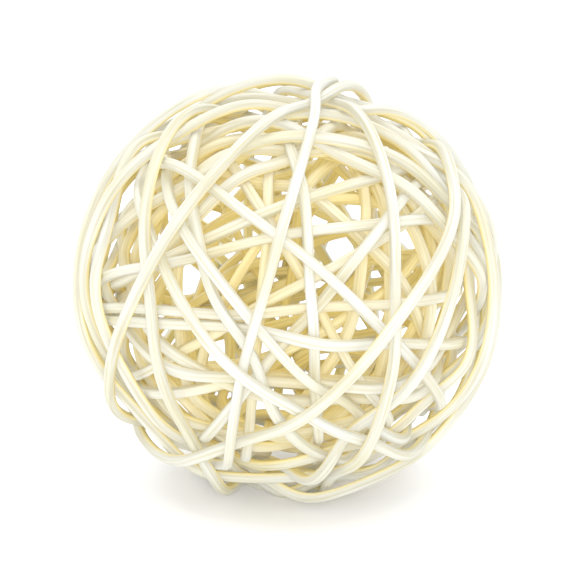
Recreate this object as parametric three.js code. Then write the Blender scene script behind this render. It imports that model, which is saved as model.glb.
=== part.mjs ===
// A decorative ball wound from long lengths of thin round rattan cane.
//
// Ten canes make the ball. Each is one unbroken length that runs two to five times round, over
// and under the others, with both of its cut ends tucked into the weave. Together they make an
// open, hollow shell, and the ones underneath are pressed flat where the ball stands.
//
// Millimetres, +Z up. The origin is on the surface that the ball stands on, below its centre.
// The front of the ball looks along -Y, and a little upwards.
import * as THREE from "three";

// Driving dimensions.
const BALL_DIAMETER = 120;
const CANE_DIAMETER = 3;
const SHELL_THICKNESS = 21;
const FLAT_DEPTH = 2.4; // how far the underside is pressed in from the full round
const FRONT_RISE = THREE.MathUtils.degToRad(15); // how far upwards the ball's front looks
const CANE_COLOUR = 0xf1e2bd;

// How finely each cane is drawn.
const STEPS_PER_TURN = 26;
const SECTION_SIDES = 4;
const SECTION_RADIUS = CANE_DIAMETER * 0.55; // its corners stand a little outside the round cane

// How the canes settle on each other.
const FINER = 2; // how many times finer the canes are drawn while they settle
const SETTLING_ROUNDS = 400;
const PRESSING_ROUNDS = 60; // these clear what still touches, and press the underside down
const CLEARING_ROUNDS = 120; // these only clear what still touches
const STIFFNESS = 0.6;
const HOMING_SIDEWAYS = 0.06;
const HOMING_OUTWARDS = 0.003;
const GAP = 0.03;
const ROUNDS_PER_SEARCH = 8;
const PIN_RADIUS = 3.5;
const PRESS_RADIUS = 15; // the canes this near the ball's underside are pressed down
const PRESS_HEIGHT = 7;
const PRESS_STEP = 0.4;

// Places that follow from them.
const SECTION_FLAT = SECTION_RADIUS * Math.cos(Math.PI / SECTION_SIDES);
const OUTER_LINE = BALL_DIAMETER / 2 - SECTION_RADIUS; // the furthest out that a cane's middle lies
const INNER_LINE = BALL_DIAMETER / 2 - SHELL_THICKNESS + SECTION_RADIUS;
const LOWEST_LINE = SECTION_FLAT - 0.3; // the lowest that a cane's middle lies
const CENTRE = new THREE.Vector3(0, 0, BALL_DIAMETER / 2 - FLAT_DEPTH);
const FRONT = new THREE.Vector3(0, -Math.cos(FRONT_RISE), Math.sin(FRONT_RISE));
const RIGHT = new THREE.Vector3(1, 0, 0);
const UP = new THREE.Vector3().crossVectors(FRONT, RIGHT);

// How each turn of each cane crosses the front of the ball:
//   lean   degrees from upright to the right,
//   pass   how far to the right of the ball's middle it passes, as a share of the ball's radius,
//   layer  how deep it lies there, from 0 for the outermost to 1 for the innermost,
//   slip   degrees by which it is off a full-size circle, to the right.
const turn = (lean, pass, layer, slip = 0) => ({ lean, pass, layer, slip });
const CANES = {
  cane_right_leaning: [
    turn(26, 0.707, 0.05, 12),
    turn(43, 0.477, 0, 2),
    turn(40, 0.165, 0.3, 9),
    turn(31, -0.3, 0.7),
    turn(36, -0.57, 0, -16),
  ],
  cane_upper_left: [
    turn(49, -0.914, 0.05),
    turn(52, -0.6, 0.5, -30),
    turn(69, -0.39, 0.4, -18),
    turn(78, -0.77, 0.5),
    turn(87, -0.72, 0.2),
  ],
  cane_lower_rim: [
    turn(45, 0.995, 0),
    turn(40, 0.96, 0.2),
    turn(70, 0.85, 0.6),
    turn(95, 0.545, 0.4),
    turn(88, 0.56, 0.6, 30),
  ],
  cane_level: [
    turn(80, -0.267, 0.3, -8),
    turn(88, 0.13, 0.4),
    turn(95, 0.24, 0.25, 13),
    turn(110, 0.585, 0.5),
    turn(136, 0.42, 0.05),
  ],
  cane_falling_right: [
    turn(-70, 0.82, 0.5),
    turn(-60, 0.7, 0.2, 20),
    turn(-50, 0.156, 0.1),
    turn(-41, -0.225, 0.15),
    turn(-22, -0.35, 0.15),
  ],
  cane_left_side: [
    turn(2, -0.67, 0.7),
    turn(-3, -0.656, 0, -15),
    turn(-12, -0.89, 0.1, -15),
    turn(-20, -0.985, 0),
    turn(-35, -0.93, 0.6),
  ],
  cane_upright: [
    turn(6, -0.156, 0.5, -5),
    turn(15, -0.087, 0, -4),
    turn(-4, 0.105, 0.25, 6),
    turn(0, 0.5, 0, 4),
    turn(0, 0.616, 0.7, 20),
  ],
  cane_right_side: [
    turn(15, 0.407, 0.8),
    turn(0, 0.8, 0.6),
    turn(-18, 0.95, 0.1),
    turn(-54, 0.98, 0),
    turn(-66, 0.93, 0.2),
  ],
  cane_inner: [
    turn(70, -0.5, 0.9),
    turn(60, 0.03, 0.5),
    turn(64, 0.36, 0.9),
    turn(30, 0.86, 0.8),
  ],
  cane_crossing: [
    turn(-52, 0.48, 0.6),
    turn(-30, 0.1, 0.5),
  ],
};

// While the canes settle, pins through the back of the ball keep these places in it open. Each is
// so far to the right of the ball's middle, and so far above it, as a share of the ball's radius.
const PINS = [
  { right: -0.49, up: 0.04 },
  { right: -0.37, up: -0.34 },
  { right: -0.12, up: -0.32 },
  { right: 0.26, up: 0.18 },
];

// A turn's values t turns along a cane. Each turn keeps its own values across the front half of
// the ball, and they change to the next turn's round the back.
function turnAt(turns, t) {
  const before = THREE.MathUtils.clamp(Math.floor(t), 0, turns.length - 1);
  const after = Math.min(before + 1, turns.length - 1);
  const share = THREE.MathUtils.smoothstep(t - before, 0.25, 0.75);
  const mix = (read) => THREE.MathUtils.lerp(read(turns[before]), read(turns[after]), share);
  const slip = mix((each) => THREE.MathUtils.degToRad(each.slip));
  return {
    lean: mix((each) => THREE.MathUtils.degToRad(each.lean)),
    swing: mix((each) => Math.asin(each.pass)) - slip,
    layer: mix((each) => each.layer),
    slip,
  };
}

// The place of a cane's middle t turns along it, before the canes settle on each other.
function windingPoint(turns, t) {
  const { lean, swing, layer, slip } = turnAt(turns, t);
  const angle = 2 * Math.PI * t;
  const along = UP.clone().multiplyScalar(Math.cos(lean)).addScaledVector(RIGHT, Math.sin(lean));
  const side = RIGHT.clone().multiplyScalar(Math.cos(lean)).addScaledVector(UP, -Math.sin(lean));
  const nearest = FRONT.clone().multiplyScalar(Math.cos(swing));
  nearest.addScaledVector(side, Math.sin(swing));
  const across = side.multiplyScalar(Math.cos(swing)).addScaledVector(FRONT, -Math.sin(swing));
  const out = nearest.multiplyScalar(Math.cos(slip) * Math.cos(angle));
  out.addScaledVector(along, Math.cos(slip) * Math.sin(angle));
  out.addScaledVector(across, Math.sin(slip));
  return out.setLength(THREE.MathUtils.lerp(OUTER_LINE, INNER_LINE, layer)).add(CENTRE);
}

// The middle line of a cane, as points from one cut end to the other. It starts and ends half a
// turn from the front, at the back of the ball.
function windCane(turns) {
  const stepsPerTurn = STEPS_PER_TURN * FINER;
  const steps = turns.length * stepsPerTurn;
  return Array.from({ length: steps + 1 }, (_, k) => windingPoint(turns, k / stepsPerTurn - 0.5));
}

// Where the straight lines a-b and c-d come nearest to each other: the share of the way along
// each, and the vector from the second to the first there.
function nearestPlaces(a, b, c, d) {
  const first = new THREE.Vector3().subVectors(b, a);
  const second = new THREE.Vector3().subVectors(d, c);
  const between = new THREE.Vector3().subVectors(a, c);
  const firstSq = first.lengthSq();
  const secondSq = second.lengthSq();
  const product = first.dot(second);
  const onFirst = first.dot(between);
  const onSecond = second.dot(between);
  const spread = Math.max(firstSq * secondSq - product * product, 1e-9);
  let s = THREE.MathUtils.clamp((product * onSecond - onFirst * secondSq) / spread, 0, 1);
  const t = THREE.MathUtils.clamp((product * s + onSecond) / secondSq, 0, 1);
  s = THREE.MathUtils.clamp((product * t - onFirst) / firstSq, 0, 1);
  return { s, t, vector: between.addScaledVector(first, s).addScaledVector(second, -t) };
}

// Moves the ends of two lengths, of cane or of pin, apart until they only just touch. Pins stay
// where they are.
function pushApart(first, second) {
  const { s, t, vector } = nearestPlaces(first.start, first.end, second.start, second.end);
  const distance = vector.length();
  const apart = first.radius + second.radius + GAP;
  const give = first.give * ((1 - s) ** 2 + s ** 2) + second.give * ((1 - t) ** 2 + t ** 2);
  if (distance >= apart || give === 0) return;
  vector.multiplyScalar((apart - distance) / (give * Math.max(distance, GAP)));
  first.start.addScaledVector(vector, first.give * (1 - s));
  first.end.addScaledVector(vector, first.give * s);
  second.start.addScaledVector(vector, second.give * (t - 1));
  second.end.addScaledVector(vector, second.give * -t);
}

// Every pair of lengths that could touch. Neighbours along one cane are left out.
function closePairs(lengths) {
  const reach = lengths.map(({ start, end, radius }) => start.distanceTo(end) / 2 + 2 * radius);
  const middles = lengths.map(({ start, end }) => start.clone().add(end).multiplyScalar(0.5));
  const pairs = [];
  lengths.forEach((first, i) => {
    for (let j = i + 2; j < lengths.length; j += 1) {
      const far = reach[i] + reach[j];
      if (middles[i].distanceToSquared(middles[j]) < far * far) pairs.push([first, lengths[j]]);
    }
  });
  return pairs;
}

// Takes the bends out of a cane that its own stiffness would, and draws it back home, more
// firmly sideways than in and out.
function straighten(points, home) {
  const at = points.map((point) => point.clone());
  for (let k = 2; k < points.length - 2; k += 1) {
    const smooth = at[k - 1].clone().add(at[k + 1]).multiplyScalar(4).sub(at[k - 2]).sub(at[k + 2]);
    points[k].lerp(smooth.divideScalar(6), STIFFNESS);
  }
  points.forEach((point, k) => {
    const outwards = home[k].clone().sub(CENTRE).normalize();
    const back = home[k].clone().sub(point);
    const rise = back.dot(outwards);
    point.addScaledVector(back, HOMING_SIDEWAYS);
    point.addScaledVector(outwards, rise * (HOMING_OUTWARDS - HOMING_SIDEWAYS));
  });
}

// Presses a point of a cane's middle down, where it is near enough to the underside.
function pressDown(point) {
  if (point.z < PRESS_HEIGHT && Math.hypot(point.x, point.y) < PRESS_RADIUS) point.z -= PRESS_STEP;
}

// Keeps a point of a cane's middle inside the shell and above the surface it stands on.
function keepInShell(point) {
  point.sub(CENTRE).clampLength(INNER_LINE, OUTER_LINE).add(CENTRE);
  point.z = Math.max(point.z, LOWEST_LINE);
}

// The lengths that a cane is drawn with.
function caneLengths(points) {
  return points.slice(1).map((end, k) => ({
    start: points[k],
    end,
    radius: SECTION_RADIUS,
    give: 1,
  }));
}

// A pin, from the middle of the ball out through its back.
function pinLength({ right, up }) {
  const start = CENTRE.clone();
  start.addScaledVector(RIGHT, (right * BALL_DIAMETER) / 2);
  start.addScaledVector(UP, (up * BALL_DIAMETER) / 2);
  const end = start.clone().addScaledVector(FRONT, -BALL_DIAMETER / 2);
  return { start, end, radius: PIN_RADIUS, give: 0 };
}

// Runs a number of rounds of work on all the canes, each ending with every touching pair of
// lengths pushed apart.
function runRounds(canes, rounds, work) {
  const lengths = canes.flatMap(caneLengths).concat(PINS.map(pinLength));
  let pairs = [];
  for (let round = 0; round < rounds; round += 1) {
    if (round % ROUNDS_PER_SEARCH === 0) pairs = closePairs(lengths);
    work();
    pairs.forEach(([first, second]) => pushApart(first, second));
    canes.flat().forEach(keepInShell);
  }
}

// Lets all the canes settle over and under each other. They settle finely drawn, and are then
// drawn with fewer points and cleared of each other again.
function settle(canes) {
  const home = canes.map((points) => points.map((point) => point.clone()));
  runRounds(canes, SETTLING_ROUNDS, () => {
    canes.forEach((points, k) => straighten(points, home[k]));
    canes.flat().forEach(pressDown);
  });
  const drawn = canes.map((points) => points.filter((_, k) => k % FINER === 0));
  runRounds(drawn, PRESSING_ROUNDS, () => drawn.flat().forEach(pressDown));
  runRounds(drawn, CLEARING_ROUNDS, () => {});
  return drawn;
}

// The solid of one cane: a straight rod bent along its middle line, with one of its sides always
// facing out of the ball, and pressed flat underneath.
function caneGeometry(points) {
  const steps = points.length - 1;
  const rod = new THREE.CylinderGeometry(
    SECTION_RADIUS,
    SECTION_RADIUS,
    steps,
    SECTION_SIDES,
    steps,
  );
  rod.rotateY(Math.PI / SECTION_SIDES);
  const corners = rod.attributes.position;
  for (let i = 0; i < corners.count; i += 1) {
    const k = Math.round(corners.getY(i) + steps / 2);
    const along = new THREE.Vector3().subVectors(
      points[Math.min(k + 1, steps)],
      points[Math.max(k - 1, 0)],
    );
    const outwards = new THREE.Vector3().subVectors(points[k], CENTRE);
    const sideways = new THREE.Vector3().crossVectors(along, outwards).normalize();
    outwards.crossVectors(sideways, along).normalize();
    const corner = points[k].clone();
    corner.addScaledVector(sideways, corners.getX(i)).addScaledVector(outwards, corners.getZ(i));
    corners.setXYZ(i, corner.x, corner.y, Math.max(corner.z, 0));
  }
  rod.computeVertexNormals();
  return rod;
}

const names = Object.keys(CANES);
const middleLines = settle(names.map((name) => windCane(CANES[name])));

const ball = new THREE.Group();
names.forEach((name, k) => {
  const material = new THREE.MeshStandardMaterial({
    color: CANE_COLOUR,
    roughness: 0.6,
    metalness: 0,
  });
  const cane = new THREE.Mesh(caneGeometry(middleLines[k]), material);
  cane.name = name;
  ball.add(cane);
});

export default ball;
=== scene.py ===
"""A decorative ball wound from bleached rattan cane, on a plain white studio floor.

Each cane follows the middle line of its own solid in the frame. The line is made smooth, the canes
are let settle on each other once more at a finer step, and each gets a flattened, slightly uneven
section that turns a little on its way, with fine lengthwise fibres.
"""
import math

import bpy
import numpy as np
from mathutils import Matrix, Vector
from mathutils.kdtree import KDTree


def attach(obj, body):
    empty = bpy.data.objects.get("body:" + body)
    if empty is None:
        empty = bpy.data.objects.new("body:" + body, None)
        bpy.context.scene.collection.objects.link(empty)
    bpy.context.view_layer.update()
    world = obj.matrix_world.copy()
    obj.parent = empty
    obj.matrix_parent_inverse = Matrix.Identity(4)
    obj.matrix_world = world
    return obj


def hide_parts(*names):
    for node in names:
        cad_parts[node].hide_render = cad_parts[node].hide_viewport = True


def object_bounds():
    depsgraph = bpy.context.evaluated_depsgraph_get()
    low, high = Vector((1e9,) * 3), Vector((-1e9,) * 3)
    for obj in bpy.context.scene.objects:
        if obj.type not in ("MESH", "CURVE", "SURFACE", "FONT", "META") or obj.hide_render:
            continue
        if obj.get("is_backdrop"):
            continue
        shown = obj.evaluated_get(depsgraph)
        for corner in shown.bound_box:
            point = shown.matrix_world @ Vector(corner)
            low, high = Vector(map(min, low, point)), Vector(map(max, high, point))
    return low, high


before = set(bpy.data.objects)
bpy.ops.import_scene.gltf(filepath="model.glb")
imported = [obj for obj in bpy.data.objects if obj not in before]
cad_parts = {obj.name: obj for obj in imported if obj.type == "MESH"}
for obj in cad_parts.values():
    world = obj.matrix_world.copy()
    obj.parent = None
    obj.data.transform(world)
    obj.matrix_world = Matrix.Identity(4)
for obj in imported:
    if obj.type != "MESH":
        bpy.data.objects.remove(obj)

CAD_LOW, CAD_HIGH = (np.array(corner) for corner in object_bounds())
CAD_MIDDLE = (CAD_LOW + CAD_HIGH) / 2

# Lengths are in metres, but for the camera's lens and sensor.

# The cane. It is a little flattened where it was pulled tight round the ball.
CANE_RADIUS = 0.00149  # half its width, where it is widest
CANE_THICKNESS = 0.00284
CANE_SQUARENESS = 3.3  # 2 is an ellipse, and more is nearer to a box with round corners
CANE_REACH = 0.00154  # how far its middle line keeps from the sides and top of the solids' box
CANE_GAP = 0.00002
CANE_TWIST = 0.35  # radians to either side, at the most
TWIST_WAVE = 0.12  # as all three of these waves, about how long one is along the cane
CANE_NARROWING = 0.16  # how much of its width a cane loses where it is narrowest
NARROWING_WAVE = 0.2
CANE_UNEVENNESS = 0.035  # how deep the skin dips at the most, as a share of the cane's size
UNEVEN_WAVE = 0.05
SLOW_WAVES, UNEVEN_WAVES = 3, 9  # how many are added up
MOST_LOBES = 6  # of a wave, round the section
END_WEAR = 0.12  # how much smaller a cut end is at its very edge
END_WEAR_LENGTH = 0.0006

# The steps in which it is made.
PLACES_PER_METRE = 500000  # a solid's corners that round to one place are one corner
SECTION_SIDES = 24
SUBSTEPS = 5  # steps of the settled line for each ring of the solid
EVEN_SUBSTEPS = 3  # steps for each of those, to make the rings' distances even
RING_STEP = 0.0011  # between two rings of the finished cane
FEWEST_STEPS = 8  # from one ring to the next, in a cane
FIRST_SEED = 100  # for the random shape of the first cane

# How the fine lines settle.
SETTLING_ROUNDS = 220
SMOOTHING_SHARE = 0.7  # of the rounds; those after it only push the canes apart
STIFFNESS = 0.7
HOLD_SIDEWAYS = 0.012  # how much of the way back to the solid's line, in each round
HOLD_OUTWARDS = 0.004
SEARCH_ROUNDS = 20  # from one search for close pairs to the next
SEARCH_MARGIN = 0.0005
OWN_STEPS = 3  # steps as near as this along one cane do not push each other
SMALLEST_SPREAD = 1e-18  # these two keep a division from being by zero
SMALLEST_DISTANCE = 1e-6

# The map for baking, as shares of its width, or of a row's height where it says so.
ROUND_THE_CANE = 7 * CANE_RADIUS  # about, in metres
LAST_ROW_FREE = 0.12  # at the end of the last row, for the cut ends
ROW_MARGIN = 0.04  # above and below the skin, of a row's height
END_PLACES = (0.93, 0.98)
END_WIDTH = 0.02  # half of it
END_HEIGHT = 0.4  # half of it, of a row's height

# The material. Tones are linear colours at these levels of the slow changes along a cane.
TONE_LEVELS = (0.28, 0.5, 0.72)
PALE_TONES = ((0.51, 0.485, 0.31, 1), (0.535, 0.53, 0.43, 1), (0.545, 0.555, 0.50, 1))
# The straw tones towards the inside of the ball are partly the canes' own, less bleached colour and
# partly painted shade: the darker, warmer light deep among the canes and on their inner sides.
STRAW_AND_SHADE_TONES = ((0.85, 0.62, 0.12, 1), (0.90, 0.70, 0.16, 1), (0.92, 0.76, 0.23, 1))
STREAK_LEVELS = (0.34, 0.55)
STREAK_TONES = ((0.72, 0.65, 0.44, 1), (1, 1, 1, 1))
STREAK_SHARE = 0.85
STRAW_AND_SHADE_SHARE = 0.85
STRAW_AND_SHADE_DISTANCES = (0.055, 0.038)  # from the ball's middle: where straw colour and painted shade start and where they are full
STRAW_AND_SHADE_HEIGHTS = (0.0, -0.0014)  # in the cane's thickness, the same
SLOW_SCALE, SLOW_DETAIL = (34, 60, 60), 2  # along the cane, across it and through it
FIBRE_SCALE, FIBRE_DETAIL = (42, 1250, 1250), 4
FIBRE_OFFSET = 5  # added to the cane's own
CANE_OFFSET = 3.1  # in the noise, from one cane to the next
OFFSET_SHARES = (1, 0.37, 0.71)
ROUGHNESS = (0.62, 0.42)  # where the fibres are low and where they are high
CANE_IOR, CANE_SPECULAR = 1.46, 0.35
BUMP_STRENGTH, BUMP_DISTANCE = 0.5, 0.00006
MIX_A, MIX_B, MIX_RESULT = 6, 7, 2  # the colour sockets of a Mix node, which share their names

# The studio.
CAMERA_RISE = math.radians(15)
CAMERA_DISTANCE = 0.72
CAMERA_LENS, CAMERA_SENSOR = 162, 36  # mm
TARGET_DROP = 0.0009  # below the middle of the ball
KEY_WIDTH, KEY_POWER = 0.2, 2.7
TOP_STRENGTH, TOP_SPREAD = 2.3, math.radians(70)
WORLD_STRENGTH = 1.2
GAMMA = 1.6
FLOOR_HALF = 3.0  # half the length of its side
FLOOR_TONE, FLOOR_ROUGHNESS = (0.97, 0.97, 0.97, 1), 0.9


# ---- the middle lines, from the frame -------------------------------------------------------


def merged(mesh):
    """The mesh's points with those in one place made one, and each point's neighbours."""
    places, number = [], {}
    same = []
    for vertex in mesh.vertices:
        key = tuple(round(value * PLACES_PER_METRE) for value in vertex.co)
        if key not in number:
            number[key] = len(places)
            places.append(vertex.co[:])
        same.append(number[key])
    neighbours = [set() for _ in places]
    for polygon in mesh.polygons:
        ring = [same[v] for v in polygon.vertices]
        for a, b in zip(ring, ring[1:] + ring[:1]):
            if a != b:
                neighbours[a].add(b)
                neighbours[b].add(a)
    return np.array(places), neighbours


def ring_centres(mesh):
    """The middle line of a cane's solid. A cut end has one point in its middle, with the four
    corners of the end round it, and each step away from that point along the mesh is the next
    ring of corners."""
    places, neighbours = merged(mesh)

    def off_centre(point):
        ring = list(neighbours[point])
        return np.linalg.norm(places[ring].mean(0) - places[point]) if len(ring) == 4 else 1

    start = min(range(len(places)), key=off_centre)
    seen, ring, centres = {start}, {start}, []
    while ring:
        centres.append(places[list(ring)].mean(0))
        ring = set().union(*(neighbours[point] for point in ring)) - seen
        seen |= ring
    return np.array(centres[1:-1])


def spline(points, substeps):
    """A smooth line through the points, with substeps steps from each to the next."""
    ends = np.vstack([2 * points[0] - points[1], points, 2 * points[-1] - points[-2]])
    a, b, c, d = ends[:-3], ends[1:-2], ends[2:-1], ends[3:]
    t = (np.arange(substeps) / substeps)[None, :, None]
    a, b, c, d = (each[:, None, :] for each in (a, b, c, d))
    line = 2 * b + (c - a) * t + (2 * a - 5 * b + 4 * c - d) * t**2
    line = (line + (3 * b - a - 3 * c + d) * t**3) / 2
    return np.vstack([line.reshape(-1, 3), points[-1:]])


# ---- settling -------------------------------------------------------------------------------


def close_pairs(points, starts, reach):
    """Pairs of steps, given by their first points, that could touch."""
    middles = (points[starts] + points[starts + 1]) / 2
    tree = KDTree(len(starts))
    for i, middle in enumerate(middles):
        tree.insert(middle, i)
    tree.balance()
    pairs = []
    for i, middle in enumerate(middles):
        for _, j, _ in tree.find_range(middle, reach):
            if j > i and abs(starts[j] - starts[i]) > OWN_STEPS:
                pairs.append((i, j))
    pairs.sort()
    return starts[np.array(pairs)]


def dot(first, second):
    return (first * second).sum(1)


def nearest_shares(p, q, r, s):
    """How far along p-q and r-s they come nearest, and the vector between those places."""
    u, v, w = q - p, s - r, p - r
    uu, vv, uv, uw, vw = dot(u, u), dot(v, v), dot(u, v), dot(u, w), dot(v, w)
    spread = np.maximum(uu * vv - uv * uv, SMALLEST_SPREAD)
    x = np.clip((uv * vw - uw * vv) / spread, 0, 1)
    y = np.clip((uv * x + vw) / vv, 0, 1)
    x = np.clip((uv * y - uw) / uu, 0, 1)
    return x, y, w + u * x[:, None] - v * y[:, None]


def push_apart(points, pairs, apart):
    """Moves the points, in place, so that paired steps nearer than apart part from each other."""
    first, second = pairs[:, 0], pairs[:, 1]
    x, y, vector = nearest_shares(
        points[first], points[first + 1], points[second], points[second + 1]
    )
    distance = np.linalg.norm(vector, axis=1)
    near = distance < apart
    first, second, x, y = first[near], second[near], x[near], y[near]
    distance = np.maximum(distance[near], SMALLEST_DISTANCE)
    shares = [1 - x, x, -(1 - y), -y]
    give = sum(share**2 for share in shares)
    push = vector[near] * ((apart - distance) / (give * distance))[:, None]
    total, count = np.zeros_like(points), np.zeros(len(points))
    for index, share in zip((first, first + 1, second, second + 1), shares):
        np.add.at(total, index, push * share[:, None])
        np.add.at(count, index, np.abs(share))
    points += total / np.maximum(count, 1)[:, None]


def settle(lines, lowest):
    """The fine lines, smoothed and clear of each other, inside the solids' box and no lower than
    lowest. The two points at each end of a line are not smoothed."""
    points = np.vstack(lines)
    lengths = np.array([len(line) for line in lines])
    ends = np.cumsum(lengths)
    begins = ends - lengths
    every = np.arange(len(points))
    starts = np.delete(every, ends - 1)
    inner = np.delete(every, np.r_[begins, begins + 1, ends - 2, ends - 1])
    home = points.copy()
    outwards = home - CAD_MIDDLE
    outwards /= np.linalg.norm(outwards, axis=1)[:, None]
    low, high = CAD_LOW + CANE_REACH, CAD_HIGH - CANE_REACH
    low[2] = lowest
    apart = 2 * CANE_RADIUS + CANE_GAP
    step = np.linalg.norm(points[starts + 1] - points[starts], axis=1).max()
    for turn in range(SETTLING_ROUNDS):
        if turn % SEARCH_ROUNDS == 0:
            pairs = close_pairs(points, starts, step + apart + SEARCH_MARGIN)
        if turn < SETTLING_ROUNDS * SMOOTHING_SHARE:
            sides = points[inner - 1] + points[inner + 1]
            beyond = points[inner - 2] + points[inner + 2]
            smooth = (4 * sides - beyond) / 6
            points[inner] += STIFFNESS * (smooth - points[inner])
            back = home - points
            rise = (back * outwards).sum(1, keepdims=True)
            points += HOLD_SIDEWAYS * back + (HOLD_OUTWARDS - HOLD_SIDEWAYS) * rise * outwards
        push_apart(points, pairs, apart)
        points = np.clip(points, low, high)
    return np.split(points, ends[:-1])


# ---- the canes ------------------------------------------------------------------------------


def distances(line):
    """How far along the line each of its points lies."""
    return np.r_[0, np.cumsum(np.linalg.norm(np.diff(line, axis=0), axis=1))]


def even_line(line):
    """The line again with even steps, and the distance along it."""
    length = distances(line)[-1]
    count = max(int(length / RING_STEP), FEWEST_STEPS)
    smooth = spline(line, EVEN_SUBSTEPS)
    along = distances(smooth)
    places = np.linspace(0, length, count + 1) * along[-1] / length
    return np.stack([np.interp(places, along, smooth[:, k]) for k in range(3)], 1), places


def waves(random, places, count, length, angles=np.zeros(1)):
    """A smooth uneven field from -1 to 1, made of slow waves: over the cane's surface, or along it
    only when no angles are given."""
    field = np.zeros((len(places), len(angles)))
    for _ in range(count):
        around = random.integers(0, MOST_LOBES + 1)
        along = random.normal() * 2 * math.pi / length
        turn = random.uniform(0, 2 * math.pi)
        field += np.cos(places[:, None] * along + angles[None, :] * around + turn)
    return field / count


def cane_axes(centres, places, random):
    """The directions of the cane's width and of its thickness at each ring. The thickness points
    out of the ball, but for a slow twist."""
    tangents = np.gradient(centres, axis=0)
    tangents /= np.linalg.norm(tangents, axis=1)[:, None]
    sideways = np.cross(tangents, centres - CAD_MIDDLE)
    sideways /= np.linalg.norm(sideways, axis=1)[:, None]
    outwards = np.cross(sideways, tangents)
    twist = CANE_TWIST * waves(random, places, SLOW_WAVES, TWIST_WAVE)
    return (
        np.cos(twist) * sideways + np.sin(twist) * outwards,
        np.cos(twist) * outwards - np.sin(twist) * sideways,
    )


def squared(values, half):
    """The values of a sine or cosine, for one side of a box with round corners."""
    return half * np.sign(values) * np.abs(values) ** (2 / CANE_SQUARENESS)


def tube_faces(count):
    """Faces that point outwards, for that many rings and then the middles of the two cut ends."""
    ring = np.arange(SECTION_SIDES)
    after = (ring + 1) % SECTION_SIDES
    base = (np.arange(count - 1) * SECTION_SIDES)[:, None]
    quads = np.stack(
        [base + ring, base + ring + SECTION_SIDES, base + after + SECTION_SIDES, base + after], 2
    )
    last = (count - 1) * SECTION_SIDES
    first_middle = np.full_like(ring, count * SECTION_SIDES)
    first_end = np.stack([ring, after, first_middle], 1)
    last_end = np.stack([last + after, last + ring, first_middle + 1], 1)
    return quads.reshape(-1, 4).tolist() + first_end.tolist() + last_end.tolist()


def bake_map(count, length):
    """A map with no overlaps, for surfaces to be baked on: the skin of the cane, cut into equal
    lengths laid one above the other, with the two cut ends after the last of them. It has the
    corners in the order of tube_faces."""
    rows = max(round(math.sqrt(length / ROUND_THE_CANE)), 2)
    steps = math.ceil((count - 1) / (rows - LAST_ROW_FREE))
    step, side = np.mgrid[0 : count - 1, 0:SECTION_SIDES]
    u = (step % steps)[:, :, None] + np.array([0, 1, 1, 0])
    v = side[:, :, None] + np.array([0, 0, 1, 1])
    v = (step // steps)[:, :, None] + ROW_MARGIN + (1 - 2 * ROW_MARGIN) * v / SECTION_SIDES
    skin = np.stack([u / steps, v / rows], 3).reshape(-1, 2)
    angles = np.arange(SECTION_SIDES + 1) * 2 * math.pi / SECTION_SIDES
    rim = np.stack([np.cos(angles) * END_WIDTH, np.sin(angles) * END_HEIGHT / rows], 1)
    ends = []
    for place, order in zip(END_PLACES, (1, -1)):  # the far end's faces go round the other way
        near, far = (rim[:-1], rim[1:])[::order]
        corners = np.stack([near, far, np.zeros_like(near)], 1).reshape(-1, 2)
        ends.append(corners + (place, 1 - 0.5 / rows))
    return np.vstack([skin, *ends]).astype(np.float32).ravel()


def cane_mesh(name, line, random):
    """The finished cane along the line, with its grain for the material and its map for baking."""
    centres, places = even_line(line)
    sideways, outwards = cane_axes(centres, places, random)
    angles = np.arange(SECTION_SIDES) * 2 * math.pi / SECTION_SIDES
    across = squared(np.cos(angles), CANE_RADIUS)
    up = squared(np.sin(angles), CANE_THICKNESS / 2)
    uneven = 1 + CANE_UNEVENNESS * waves(random, places, UNEVEN_WAVES, UNEVEN_WAVE, angles)
    uneven = np.minimum(uneven, 1)
    # The cut ends are flat, with the edge a little worn.
    near_end = np.minimum(places, places[-1] - places)
    uneven = uneven * (1 - END_WEAR * np.exp(-((near_end / END_WEAR_LENGTH) ** 2)))[:, None]
    narrowing = 0.5 + 0.5 * waves(random, places, SLOW_WAVES, NARROWING_WAVE)
    narrower = 1 - CANE_NARROWING * narrowing
    rings = (
        centres[:, None, :]
        + (uneven * narrower * across)[:, :, None] * sideways[:, None, :]
        + (uneven * up)[:, :, None] * outwards[:, None, :]
    )
    vertices = np.vstack([rings.reshape(-1, 3), centres[:1], centres[-1:]])
    # The canes are pressed flat where the ball stands.
    vertices[:, 2] = np.maximum(vertices[:, 2], 0)
    count = len(centres)
    mesh = bpy.data.meshes.new(name)
    mesh.from_pydata(vertices.tolist(), [], tube_faces(count))
    mesh.update()
    # Each point's place in the straight cane, for the material: along it, across it and through it.
    grain = np.zeros((len(vertices), 3), np.float32)
    grain[:-2, 0] = np.repeat(places, SECTION_SIDES)
    grain[:-2, 1] = np.tile(across, count)
    grain[:-2, 2] = np.tile(up, count)
    grain[-1, 0] = places[-1]
    made = mesh.attributes.new("grain", "FLOAT_VECTOR", "POINT")
    made.data.foreach_set("vector", grain.ravel())
    for polygon in mesh.polygons:
        polygon.use_smooth = len(polygon.vertices) == 4
    mesh.uv_layers.new(name="OFBake").data.foreach_set("uv", bake_map(count, places[-1]))
    return mesh


# ---- material -------------------------------------------------------------------------------


def nodes_of(material):
    material.use_nodes = True
    tree = material.node_tree
    return tree, tree.nodes["Principled BSDF"]


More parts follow.
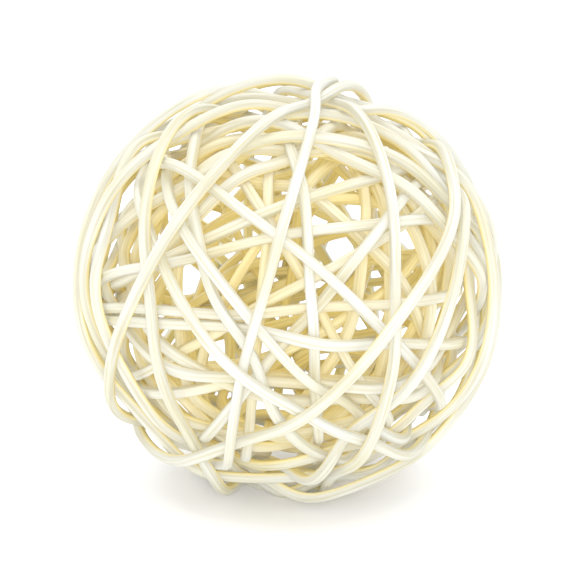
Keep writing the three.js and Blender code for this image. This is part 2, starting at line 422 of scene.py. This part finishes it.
def cane_material(name, offset):
    """Bleached rattan: cream, with slow changes of tone along the cane, fine lengthwise fibres, and
    a deeper straw colour towards the inside of the ball, partly its own and partly painted shade."""
    material = bpy.data.materials.new(name)
    tree, shader = nodes_of(material)
    new, link = tree.nodes.new, tree.links.new

    grain = new("ShaderNodeAttribute")
    grain.attribute_name = "grain"

    def noise(scale, detail, shift):
        place = new("ShaderNodeMapping")
        place.inputs["Scale"].default_value = scale
        place.inputs["Location"].default_value = [shift * share for share in OFFSET_SHARES]
        link(grain.outputs["Vector"], place.inputs["Vector"])
        texture = new("ShaderNodeTexNoise")
        texture.inputs["Scale"].default_value = 1
        texture.inputs["Detail"].default_value = detail
        link(place.outputs["Vector"], texture.inputs["Vector"])
        return texture.outputs["Fac"]

    def ramp(value, levels, tones):
        made = new("ShaderNodeValToRGB")
        elements = made.color_ramp.elements
        elements[0].position, elements[0].color = levels[0], tones[0]
        elements[1].position, elements[1].color = levels[-1], tones[-1]
        for level, tone in zip(levels[1:-1], tones[1:-1]):
            elements.new(level).color = tone
        link(value, made.inputs["Fac"])
        return made.outputs["Color"]

    def mix(kind, factor, first, second):
        made = new("ShaderNodeMix")
        made.data_type = "RGBA"
        made.blend_type = kind
        if isinstance(factor, float):
            made.inputs["Factor"].default_value = factor
        else:
            link(factor, made.inputs["Factor"])
        link(first, made.inputs[MIX_A])
        link(second, made.inputs[MIX_B])
        return made.outputs[MIX_RESULT]

    def straw_and_shade_share(value, limits):
        """From 0 where the value is at the first limit to STRAW_AND_SHADE_SHARE where it is at the second,
        without a hard edge."""
        made = new("ShaderNodeMapRange")
        made.interpolation_type = "SMOOTHSTEP"
        made.inputs["From Min"].default_value = limits[0]
        made.inputs["From Max"].default_value = limits[1]
        made.inputs["To Max"].default_value = STRAW_AND_SHADE_SHARE
        link(value, made.inputs["Value"])
        return made.outputs["Result"]

    slow = noise(SLOW_SCALE, SLOW_DETAIL, offset)
    pale = ramp(slow, TONE_LEVELS, PALE_TONES)
    straw = ramp(slow, TONE_LEVELS, STRAW_AND_SHADE_TONES)
    # Deeper in the ball, and on the side that faces into it, a cane turns to straw colour: partly
    #     its own, bleached less there, and partly painted shade for the darker, warmer light among
    #     canes.
    place = new("ShaderNodeTexCoord")
    distance = new("ShaderNodeVectorMath")
    distance.operation = "DISTANCE"
    distance.inputs[1].default_value = CAD_MIDDLE.tolist()
    link(place.outputs["Object"], distance.inputs[0])
    split = new("ShaderNodeSeparateXYZ")
    link(grain.outputs["Vector"], split.inputs["Vector"])
    colour = mix("MIX", straw_and_shade_share(distance.outputs["Value"], STRAW_AND_SHADE_DISTANCES), pale, straw)
    colour = mix("MIX", straw_and_shade_share(split.outputs["Z"], STRAW_AND_SHADE_HEIGHTS), colour, straw)

    fibres = noise(FIBRE_SCALE, FIBRE_DETAIL, offset + FIBRE_OFFSET)
    streaks = ramp(fibres, STREAK_LEVELS, STREAK_TONES)
    colour = mix("MULTIPLY", STREAK_SHARE, colour, streaks)
    link(colour, shader.inputs["Base Color"])

    rough = new("ShaderNodeMapRange")
    rough.inputs["To Min"].default_value, rough.inputs["To Max"].default_value = ROUGHNESS
    link(fibres, rough.inputs["Value"])
    link(rough.outputs["Result"], shader.inputs["Roughness"])
    shader.inputs["IOR"].default_value = CANE_IOR
    shader.inputs["Specular IOR Level"].default_value = CANE_SPECULAR

    bump = new("ShaderNodeBump")
    bump.inputs["Strength"].default_value = BUMP_STRENGTH
    bump.inputs["Distance"].default_value = BUMP_DISTANCE
    link(fibres, bump.inputs["Height"])
    link(bump.outputs["Normal"], shader.inputs["Normal"])
    return material


# ---- building the ball ----------------------------------------------------------------------

names = sorted(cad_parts)
coarse = [ring_centres(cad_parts[name].data) for name in names]
lowest = min(line[:, 2].min() for line in coarse)
lines = settle([spline(line, SUBSTEPS) for line in coarse], lowest)
for number, (name, line) in enumerate(zip(names, lines)):
    random = np.random.default_rng(FIRST_SEED + number)
    piece = bpy.data.objects.new("rattan_" + name, cane_mesh(name, line, random))
    bpy.context.scene.collection.objects.link(piece)
    piece.data.materials.append(cane_material("rattan_" + name, CANE_OFFSET * number))
    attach(piece, "root")
    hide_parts(name)

# ---- the studio -----------------------------------------------------------------------------

scene = bpy.context.scene


def floor():
    mesh = bpy.data.meshes.new("floor")
    side = FLOOR_HALF
    corners = [(-side, -side, 0), (side, -side, 0), (side, side, 0), (-side, side, 0)]
    mesh.from_pydata(corners, [], [(0, 1, 2, 3)])
    made = bpy.data.objects.new("floor", mesh)
    scene.collection.objects.link(made)
    material = bpy.data.materials.new("floor")
    _, shader = nodes_of(material)
    shader.inputs["Base Color"].default_value = FLOOR_TONE
    shader.inputs["Roughness"].default_value = FLOOR_ROUGHNESS
    mesh.materials.append(material)
    made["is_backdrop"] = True


def aimed(name, data, place, target):
    """A lamp or camera at the place, turned to the target."""
    made = bpy.data.objects.new(name, data)
    made.location = place
    made.rotation_euler = (target - place).to_track_quat("-Z", "Y").to_euler()
    scene.collection.objects.link(made)
    return made


def softbox(name, place, target):
    lamp = bpy.data.lights.new(name, "AREA")
    lamp.shape = "DISK"
    lamp.size = KEY_WIDTH
    lamp.energy = KEY_POWER
    aimed(name, lamp, place, target)


def sky(name):
    lamp = bpy.data.lights.new(name, "SUN")
    lamp.energy = TOP_STRENGTH
    lamp.angle = TOP_SPREAD
    aimed(name, lamp, Vector((0, 0, 1)), Vector((0, 0, 0)))


def camera(place, target):
    data = bpy.data.cameras.new("camera")
    data.lens = CAMERA_LENS
    data.sensor_width = CAMERA_SENSOR
    scene.camera = aimed("camera", data, place, target)


def surroundings():
    world = bpy.data.worlds.new("studio")
    world.use_nodes = True
    background = world.node_tree.nodes["Background"]
    background.inputs["Color"].default_value = (1, 1, 1, 1)
    background.inputs["Strength"].default_value = WORLD_STRENGTH
    scene.world = world


floor()
target = Vector(CAD_MIDDLE - (0, 0, TARGET_DROP))
view = Vector((0, -math.cos(CAMERA_RISE), math.sin(CAMERA_RISE)))
camera(target + CAMERA_DISTANCE * view, target)
softbox("key", target + CAMERA_DISTANCE * view, target)
sky("top")
surroundings()
scene.view_settings.view_transform = "Standard"
scene.view_settings.gamma = GAMMA
